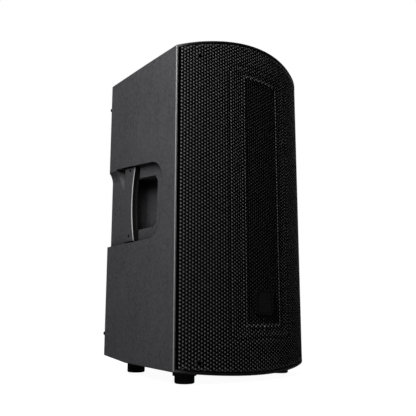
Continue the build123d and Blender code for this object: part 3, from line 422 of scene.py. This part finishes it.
def printed_ink(name):
    m = Nodes(name)
    worn = m.noise(500.0, 5.0)
    m.set(Base_Color=m.mix(m.spread(worn, 0.4, 0.7, 0.0, 0.4), (0.62, 0.62, 0.62, 1), (0.35, 0.35, 0.36, 1)),
          Roughness=0.55)
    return m.material


MATERIALS = {
    # cabinet and grip plastics: painted highlights on edges and front corners, painted shade on front faces
    # and in hollows
    "cabinet_plastic": moulded_plastic("cabinet_plastic", grey(0.036, 0.002, 0.004), grey(0.15, 0.004, 0.01),
                                       highlight_weight=0.5, corner_highlight=0.42, painted_light_limit=CORNER_Y + 4 * MM),
    "grip_plastic": moulded_plastic("grip_plastic", grey(0.052, 0.002, 0.004), grey(0.13, 0.002, 0.006),
                                    1200.0, 0.00012, 0.46, highlight_weight=0.6, corner_highlight=0.9),
    "baffle_plastic": moulded_plastic("baffle_plastic", grey(0.014), grey(0.03), 1000.0, 0.00015, 0.6),
    "socket_plastic": moulded_plastic("socket_plastic", grey(0.016), grey(0.04), 1300.0, 0.0001, 0.45),
    "knob_plastic": moulded_plastic("knob_plastic", grey(0.022), grey(0.05), 2400.0, 0.00005, 0.42),
    "latch_plastic": moulded_plastic("latch_plastic", grey(0.13), grey(0.2), 2400.0, 0.00005, 0.45),
    "grille_steel": powder_coat("grille_steel", grey(0.004, 0.0, 0.0005), grey(0.008, 0.0, 0.001), 0.3,
                                crown_highlights=True),
    "badge_metal": powder_coat("badge_metal", grey(0.004), grey(0.01), 0.26, 0.00002),
    "badge_face": gloss_plastic("badge_face", grey(0.016, 0.002, 0.002), 0.2),
    "amp_paint": powder_coat("amp_paint", grey(0.022, 0.0, 0.002), grey(0.045), 0.5, 0.00012),
    "cast_frame": powder_coat("cast_frame", grey(0.03), grey(0.06), 0.5, 0.0002),
    "acoustic_foam": open_cell_foam("acoustic_foam", grey(0.006)),
    "black_screw": metal("black_screw", grey(0.012), 0.34),
    "zinc_steel": metal("zinc_steel", grey(0.55, 0.0, 0.01), 0.32),
    "foot_rubber": rubber("foot_rubber", grey(0.012)),
    "surround_rubber": rubber("surround_rubber", grey(0.018), 0.6),
    "cable_sheath": rubber("cable_sheath", grey(0.02), 0.5),
    "spider_cloth": fibre("spider_cloth", (0.5, 0.33, 0.12, 1), (0.25, 0.15, 0.05, 1), 700.0, True),
    "wadding": fibre("wadding", grey(0.75), grey(0.5), 160.0),
    "cone_paper": fibre("cone_paper", grey(0.035), grey(0.015), 300.0),
    "ferrite": moulded_plastic("ferrite", grey(0.04), grey(0.07), 1500.0, 0.0001, 0.6),
    "titanium": metal("titanium", (0.5, 0.47, 0.44, 1), 0.35),
    "heat_sink_aluminium": metal("heat_sink_aluminium", grey(0.045), 0.4, (0.2, 1.0, 8.0)),
    "circuit_board": circuit_board("circuit_board"),
    "brass": metal("brass", (0.7, 0.5, 0.2, 1), 0.3, tint=(0.4, 0.26, 0.1, 1)),
    "copper": metal("copper", (0.75, 0.34, 0.18, 1), 0.35, (1.0, 6.0, 1.0), (0.4, 0.16, 0.08, 1)),
    "connector_plastic": gloss_plastic("connector_plastic", grey(0.018), 0.34),
    "rocker_plastic": gloss_plastic("rocker_plastic", grey(0.02), 0.26),
    "display_glass": smoked_window("display_glass"),
    "led_lens": lit_lens("led_lens", (0.1, 0.75, 0.2, 1), 1.2),
    "panel_ink": printed_ink("panel_ink"),
}


def dress_cad_nodes():
    """Every CAD node gets its slot's material."""
    slots = {row["node"]: row["material_slot"] for row in frame["record"]["subparts"]}
    for name, node in nodes.items():
        node.data.materials.clear()
        node.data.materials.append(MATERIALS[slots[name]])


# ---------------------------------------------------------------- bowed front
def bow(arc, inset):
    """Plan position on the bowed front at a signed arc distance from the middle, set in by inset."""
    side = np.sign(arc)
    run = np.abs(arc)
    turn = np.where(run <= MIDDLE_ARC, run / CENTRE_RADIUS, CENTRE_ANGLE + (run - MIDDLE_ARC) / CORNER_RADIUS)
    outer = turn > CENTRE_ANGLE
    radius = np.where(outer, CORNER_RADIUS, CENTRE_RADIUS)
    offset = np.where(outer, CENTRE_RADIUS - CORNER_RADIUS, 0.0)
    x = offset * sin(CENTRE_ANGLE) + (radius - inset) * np.sin(turn)
    y = FRONT_Y + CENTRE_RADIUS - offset * cos(CENTRE_ANGLE) - (radius - inset) * np.cos(turn)
    return side * x, y


def top_edge(x, y):
    """Height of the grille's arched top edge."""
    sag = TOP_ARCH_RADIUS - np.sqrt(TOP_ARCH_RADIUS ** 2 - HALF_WIDTH ** 2)
    axis = CORNER_TOP + sag - TOP_ARCH_RADIUS / cos(TOP_FALL) - (y - CORNER_Y) * tan(TOP_FALL)
    return axis + np.sqrt((TOP_ARCH_RADIUS - GRILLE_INSET) ** 2 - x ** 2) / cos(TOP_FALL)


def bottom_edge(x, y):
    """Height of the grille's gently curved bottom edge."""
    sag = BOTTOM_ARCH_RADIUS - np.sqrt(BOTTOM_ARCH_RADIUS ** 2 - HALF_WIDTH ** 2)
    axis = FOOT_HEIGHT - sag + BOTTOM_ARCH_RADIUS / cos(BOTTOM_RISE) + (y - CORNER_Y) * tan(BOTTOM_RISE)
    return axis - np.sqrt((BOTTOM_ARCH_RADIUS - GRILLE_INSET) ** 2 - x ** 2) / cos(BOTTOM_RISE)


def sheet_ends(across):
    """Bottom and top heights of the grille at arc distances from its middle."""
    x, y = bow(across, GRILLE_RECESS)
    return bottom_edge(x, y), top_edge(x, y)


def rounded_box_distance(across, up, half_width, low, high, radius):
    """Signed distance to a rounded rectangle, negative inside."""
    middle, half_height = (low + high) / 2, (high - low) / 2
    dx = np.abs(across) - (half_width - radius)
    dz = np.abs(up - middle) - (half_height - radius)
    outside = np.hypot(np.maximum(dx, 0), np.maximum(dz, 0))
    return outside + np.minimum(np.maximum(dx, dz), 0) - radius


def smooth(value):
    value = np.clip(value, 0, 1)
    return value * value * (3 - 2 * value)


def ridge_distance(across, up):
    return rounded_box_distance(across, up, RIDGE_HALF, RIDGE_LOW, RIDGE_HIGH, RIDGE_RADIUS)


def pressed_relief(across, up):
    """How far the pressed grille lies behind its plain bowed surface."""
    crown = GROOVE_HIGH - GROOVE_ARCH * across ** 2 / CENTRE_RADIUS
    outer = rounded_box_distance(across, up + (GROOVE_HIGH - crown), GROOVE_HALF, GROOVE_LOW, GROOVE_HIGH,
                                 GROOVE_RADIUS)
    inner = ridge_distance(across, up)
    band = np.clip(-outer / (np.clip(-outer, 0, None) + np.clip(inner, 1e-6, None)), 0, 1)
    sunk_band = PRESS_DEPTH * smooth(band)
    groove = GROOVE_DIP * np.exp(-(outer / GROOVE_WIDTH) ** 2)
    bead = BEAD_HEIGHT * np.exp(-(inner / BEAD_WIDTH) ** 2)
    crease_zone = smooth((up - CREASE_LOW) / CREASE_FADE) * smooth((CREASE_HIGH - up) / CREASE_FADE)
    crease = CREASE_HEIGHT * np.exp(-(across / CREASE_WIDTH) ** 2) * crease_zone
    return sunk_band + groove - bead - crease


def sheet_half_arc(node, inset):
    """Arc distance from the middle at which the bowed sheet reaches the node's width."""
    arcs = np.linspace(0, HALF_ARC, 400)
    return float(np.interp(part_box(node)[1].x, bow(arcs, inset)[0], arcs))


def hole_pattern(half_arc):
    """Points, faces and painted crown highlight of the flat staggered pattern, one twelve-sided cell per
    hole.
    """
    step = HOLE_PITCH * sqrt(3) / 2
    columns = int(half_arc / step) + 2
    rows = int(SHEET_REACH / HOLE_PITCH) + 2
    turns = np.arange(HOLE_SIDES) * 2 * pi / HOLE_SIDES
    reach = np.where(np.arange(HOLE_SIDES) % 2 == 0, HOLE_PITCH / sqrt(3), HOLE_PITCH / 2)
    rim = np.stack([reach * np.cos(turns), reach * np.sin(turns)], axis=1)
    ring = np.stack([np.cos(turns), np.sin(turns)], axis=1)
    lip = HOLE_RADIUS + HOLE_LIP
    # painted highlight share at each point of a cell's rim
    crown_ring = [1.0 if k % 4 == 0 else CROWN_SLANT if k % 6 == 1 else 0.0 for k in range(HOLE_SIDES)]

    points, faces, crown_highlights = [], [], []
    for column in range(-columns, columns + 1):
        arc = column * step
        bottom, top = sheet_ends(np.array(arc))
        for row in range(-1, rows):
            up = row * HOLE_PITCH + (column % 2) * HOLE_PITCH / 2 + HOLE_PHASE
            if abs(arc) > half_arc + HOLE_PITCH or not bottom - HOLE_PITCH < up < top + HOLE_PITCH:
                continue
            open_cell = (abs(arc) < half_arc - SIDE_MARGIN - HOLE_RADIUS
                         and bottom + END_MARGIN + HOLE_RADIUS < up < top - END_MARGIN - HOLE_RADIUS)
            start = len(points)
            points += [(arc + rim[k][0], WEB_DIP * (k % 2), up + rim[k][1]) for k in range(HOLE_SIDES)]
            crown_highlights += crown_ring
            if open_cell:
                points += [(arc + lip * dx, LIP_DIP, up + lip * dz) for dx, dz in ring]
                points += [(arc + HOLE_RADIUS * dx, HOLE_DIP, up + HOLE_RADIUS * dz) for dx, dz in ring]
                crown_highlights += [LIP_CROWN * value for value in crown_ring] + [0.0] * HOLE_SIDES
                for k in range(HOLE_SIDES):
                    n = (k + 1) % HOLE_SIDES
                    for level in (0, HOLE_SIDES):
                        faces.append((start + level + k, start + level + n,
                                      start + level + HOLE_SIDES + n, start + level + HOLE_SIDES + k))
            else:
                points.append((arc, 0.0, up))
                crown_highlights.append(0.0)
                hub = start + HOLE_SIDES
                faces += [(start + k, start + (k + 1) % HOLE_SIDES, hub) for k in range(HOLE_SIDES)]
    return np.array(points), faces, np.array(crown_highlights)


def flat_sheet(half_arc):
    """Mesh of the flat pattern, with neighbouring cells joined."""
    points, faces, crown_highlights = hole_pattern(half_arc)
    first, inverse = np.unique(np.round(points / (0.01 * MM)).astype(np.int64), axis=0,
                               return_index=True, return_inverse=True)[1:]
    inverse = inverse.reshape(-1)
    kept = points[first]
    mesh = bpy.data.meshes.new("grille_mesh")
    mesh.from_pydata(kept.tolist(), [], [tuple(int(inverse[i]) for i in face) for face in faces])
    # painted highlight on the crowns, strongest near the bead, with painted shade in the pressed-in middle
    ridge = ridge_distance(kept[:, 0], kept[:, 2])
    usual = CROWN_SUNK + (CROWN_USUAL - CROWN_SUNK) * smooth(ridge / SUNK_SHADE_FADE + 1)
    highlight_weight = usual + (1 - usual) * np.exp(-(ridge / BEAD_HIGHLIGHT_WIDTH) ** 2)
    mesh.attributes.new("crown", "FLOAT", "POINT").data.foreach_set("value", crown_highlights[first] * highlight_weight)
    return mesh


def lift(flat, end, sign):
    """Slides the sheet up or down until its top or bottom end is straight, or back again."""
    heights = sheet_ends(np.array([vertex.co.x for vertex in flat.verts]))[end]
    for vertex, height in zip(flat.verts, heights.tolist()):
        vertex.co.z += sign * height


def trim(mesh, half_arc):
    """Cuts the flat sheet to its outline and adds the edge loops of its rolled border."""
    flat = bmesh.new()
    flat.from_mesh(mesh)
    rolls = [CURL * share for share in (0.0, 0.12, 0.35, 0.65, 1.0)]

    def cut(origin, normal, clear):
        geometry = flat.verts[:] + flat.edges[:] + flat.faces[:]
        bmesh.ops.bisect_plane(flat, geom=geometry, dist=1e-7, plane_co=origin, plane_no=normal,
                               clear_outer=clear)

    for inset in rolls:
        for side in (-1, 1):
            cut((side * (half_arc - inset), 0, 0), (side, 0, 0), inset == 0.0)
    for end, side in ((1, 1), (0, -1)):
        lift(flat, end, -1)
        for inset in rolls:
            cut((0, 0, -side * inset), (0, 0, side), inset == 0.0)
        lift(flat, end, 1)
    flat.to_mesh(mesh)
    flat.free()


def bend(mesh, half_arc):
    """Presses the trimmed sheet, rolls its border back and bows it."""
    co = np.zeros(len(mesh.vertices) * 3)
    mesh.vertices.foreach_get("co", co)
    across, dip, up = co.reshape(-1, 3).T
    bottom, top = sheet_ends(across)
    to_edge = np.minimum(half_arc - np.abs(across), np.minimum(top - up, up - bottom))
    curl = np.clip(CURL - to_edge, 0, CURL)
    roll = CURL - np.sqrt(np.clip(CURL ** 2 - curl ** 2, 0, None))
    x, y = bow(across, GRILLE_RECESS + dip + roll + pressed_relief(across, up))
    mesh.vertices.foreach_set("co", np.stack([x, y, up], axis=1).ravel())
    mesh.update()


def thicken(piece, thickness, material):
    """Gives an open surface its thickness behind it, smooth faces and a material."""
    solid = piece.modifiers.new("thickness", "SOLIDIFY")
    solid.thickness = thickness
    solid.offset = -1.0
    graph = bpy.context.evaluated_depsgraph_get()
    done = bpy.data.meshes.new_from_object(piece.evaluated_get(graph))
    piece.modifiers.clear()
    piece.data = done
    for polygon in done.polygons:
        polygon.use_smooth = True
    done.materials.append(MATERIALS[material])
    return piece


def perforated_sheet():
    """The steel grille: a staggered hole pattern cut in flat, pressed, rolled at its border and bowed."""
    half_arc = sheet_half_arc("grille", GRILLE_RECESS)
    mesh = flat_sheet(half_arc)
    trim(mesh, half_arc)
    bend(mesh, half_arc)
    sheet = into_scene(bpy.data.objects.new("grille_perforated", mesh))
    return thicken(sheet, GRILLE_THICKNESS, "grille_steel")


def grid_mesh(name, points, columns, rows):
    """Open surface through a grid of points, column by column."""
    mesh = bpy.data.meshes.new(name)
    faces = [(c * rows + r, (c + 1) * rows + r, (c + 1) * rows + r + 1, c * rows + r + 1)
             for c in range(columns - 1) for r in range(rows - 1)]
    mesh.from_pydata(points, [], faces)
    return into_scene(bpy.data.objects.new(name, mesh))


def foam_sheet():
    """Acoustic foam pressed against the back of the grille."""
    half_arc = sheet_half_arc("grille_foam", FOAM_INSET)
    points = []
    for across in np.linspace(-half_arc, half_arc, FOAM_COLUMNS):
        bottom, top = sheet_ends(np.array(across))
        up = np.linspace(bottom + FOAM_MARGIN, top - FOAM_MARGIN, FOAM_ROWS)
        x, y = bow(np.full(FOAM_ROWS, across), FOAM_INSET + np.maximum(pressed_relief(across, up), 0))
        points += list(zip(x.tolist(), y.tolist(), up.tolist()))
    foam = grid_mesh("foam_sheet", points, FOAM_COLUMNS, FOAM_ROWS)
    return thicken(foam, FOAM_THICKNESS, "acoustic_foam")


# ---------------------------------------------------------------- small solid pieces
class Builder:
    """Collects small closed blocks into one mesh."""

    def __init__(self):
        self.points = []
        self.faces = []

    def prism(self, low, high):
        """Closed prism between two rings with equally many points."""
        start, count = len(self.points), len(low)
        self.points += list(low) + list(high)
        self.faces.append(tuple(start + k for k in reversed(range(count))))
        self.faces.append(tuple(start + count + k for k in range(count)))
        for k in range(count):
            n = (k + 1) % count
            self.faces.append((start + k, start + n, start + count + n, start + count + k))

    def piece(self, name, material):
        mesh = bpy.data.meshes.new(name)
        mesh.from_pydata([tuple(point) for point in self.points], [], self.faces)
        solid = bmesh.new()
        solid.from_mesh(mesh)
        bmesh.ops.recalc_face_normals(solid, faces=solid.faces[:])
        solid.to_mesh(mesh)
        solid.free()
        mesh.materials.append(MATERIALS[material])
        made = into_scene(bpy.data.objects.new(name, mesh))
        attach(made, "cabinet")
        return made


def side_point(side, along, up, depth):
    """Point on a side wall: distance behind its front edge, height above it, depth below its surface."""
    x = HALF_WIDTH - depth * cos(SIDE_SLOPE) - along * sin(SIDE_SLOPE)
    y = CORNER_Y - depth * sin(SIDE_SLOPE) + along * cos(SIDE_SLOPE)
    return Vector((side * x, y, FOOT_HEIGHT + up))


def grip_ribs():
    """Fine ribs along the inner front edge of each grip."""
    for side, name in ((1, "grip_ribs_right"), (-1, "grip_ribs_left")):
        ribs = Builder()
        for level in np.arange(RIB_LOW, RIB_HIGH, RIB_PITCH):
            front = GRIP_BOW_PEAK - GRIP_BOW_RADIUS + sqrt(GRIP_BOW_RADIUS ** 2 - (level - GRIP_MIDDLE) ** 2)
            section = [(front + RIB_RADIUS * (0.3 - cos(turn)), level + RIB_RADIUS * sin(turn))
                       for turn in (-1.5, -1.0, -0.5, 0.0, 0.5, 1.0, 1.5)]
            ribs.prism([side_point(side, along, up, RIB_OUTER) for along, up in section],
                       [side_point(side, along, up, RIB_INNER) for along, up in section])
        ribs.piece(name, "grip_plastic")


def knob_ticks():
    """Printed tick marks round the three knobs on the rear panel."""
    ticks = Builder()
    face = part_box("amp_plate")[1].y
    for knob in ("gain_knob_left", "gain_knob_right", "main_knob"):
        low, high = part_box(knob)
        centre_x, centre_z, radius = (low.x + high.x) / 2, (low.z + high.z) / 2, (high.x - low.x) / 2
        for count in range(TICKS):
            turn = radians(-150 + 300 * count / (TICKS - 1))
            out = Vector((-sin(turn), 0, cos(turn)))
            across = Vector((cos(turn), 0, sin(turn))) * TICK_HALF_WIDTH
            near = Vector((centre_x, face, centre_z)) + out * (radius + TICK_GAP)
            far = near + out * (LONG_TICK if count % 5 == 0 else SHORT_TICK)
            ring = [near - across, near + across, far + across, far - across]
            ticks.prism(ring, [point + Vector((0, INK_THICKNESS, 0)) for point in ring])
    ticks.piece("panel_ticks", "panel_ink")


# ---------------------------------------------------------------- pieces
def ride_for(piece, node):
    """The piece moves with the cabinet and stands for a CAD node."""
    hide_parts(node)
    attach(piece, "cabinet")


def place_grille():
    ride_for(perforated_sheet(), "grille")
    ride_for(foam_sheet(), "grille_foam")


# ---------------------------------------------------------------- stage
def stage():
    """Plain white floor: bright for the camera, but it throws little light back up."""
    mesh = bpy.data.meshes.new("floor")
    mesh.from_pydata([(-FLOOR_REACH, -FLOOR_REACH, 0), (FLOOR_REACH, -FLOOR_REACH, 0),
                      (FLOOR_REACH, FLOOR_REACH, 0), (-FLOOR_REACH, FLOOR_REACH, 0)], [], [(0, 1, 2, 3)])
    floor = into_scene(bpy.data.objects.new("floor", mesh))
    paper = Nodes("floor_paper")
    grain = paper.noise(300.0, 3.0)
    seen = paper.node("ShaderNodeLightPath").outputs["Is Camera Ray"]
    paper.set(Base_Color=paper.mix(seen, grey(0.22), paper.mix(grain, grey(0.45), grey(0.48))),
              Roughness=0.9, Specular_IOR_Level=0.0, Emission_Color=(1, 1, 1, 1),
              Emission_Strength=paper.math("MULTIPLY", seen, 0.96))
    floor.data.materials.append(paper.material)


def area_light(name, place, size, power):
    """A rectangular lamp aimed at the middle of the cabinet."""
    data = bpy.data.lights.new(name, "AREA")
    data.shape = "RECTANGLE"
    data.size, data.size_y = size
    data.energy = power
    lamp = into_scene(bpy.data.objects.new(name, data))
    lamp.location = place
    lamp.rotation_euler = (Vector(LIGHT_TARGET) - Vector(place)).to_track_quat("-Z", "Y").to_euler()


def room():
    """White backdrop for the camera; for everything else a dim room with a glow behind on the right."""
    world = bpy.data.worlds.new("studio")
    world.use_nodes = True
    tree = world.node_tree
    tree.nodes.clear()

    def add(kind, **settings):
        made = tree.nodes.new(kind)
        for key, value in settings.items():
            setattr(made, key, value)
        return made

    behind = add("ShaderNodeVectorMath", operation="DOT_PRODUCT")
    behind.inputs[1].default_value = GLOW_SIDE
    tree.links.new(add("ShaderNodeTexCoord").outputs["Generated"], behind.inputs[0])
    glow = add("ShaderNodeMapRange", interpolation_type="SMOOTHSTEP")
    for key, value in (("From Min", GLOW_START), ("From Max", GLOW_FULL), ("To Min", AMBIENT),
                       ("To Max", BACK_GLOW)):
        glow.inputs[key].default_value = value
    tree.links.new(behind.outputs["Value"], glow.inputs["Value"])
    ambient = add("ShaderNodeBackground")
    ambient.inputs["Color"].default_value = AMBIENT_TINT
    tree.links.new(glow.outputs[0], ambient.inputs["Strength"])
    backdrop = add("ShaderNodeBackground")
    backdrop.inputs["Color"].default_value = grey(1.0)
    mix = add("ShaderNodeMixShader")
    seen = add("ShaderNodeLightPath").outputs["Is Camera Ray"]
    for socket, source in enumerate((seen, ambient.outputs[0], backdrop.outputs[0])):
        tree.links.new(source, mix.inputs[socket])
    tree.links.new(mix.outputs[0], add("ShaderNodeOutputWorld").inputs[0])
    bpy.context.scene.world = world


def studio():
    """The room, a strip light on the left and a small one near the viewer."""
    room()
    area_light("key", KEY_PLACE, KEY_SIZE, KEY_POWER)
    area_light("spark", SPARK_PLACE, SPARK_SIZE, SPARK_POWER)
    bpy.context.scene.view_settings.view_transform = "Standard"


def camera():
    """Low viewpoint in front of the left corner, looking slightly up."""
    data = bpy.data.cameras.new("camera")
    data.sensor_width = 36.0
    data.lens = CAMERA_LENS
    data.shift_x, data.shift_y = CAMERA_SHIFT
    data.clip_end = 60.0
    view = into_scene(bpy.data.objects.new("camera", data))
    view.location = CAMERA_PLACE
    view.rotation_euler = CAMERA_TURN
    bpy.context.scene.camera = view


dress_cad_nodes()
place_grille()
grip_ribs()
knob_ticks()
stage()
studio()
camera()
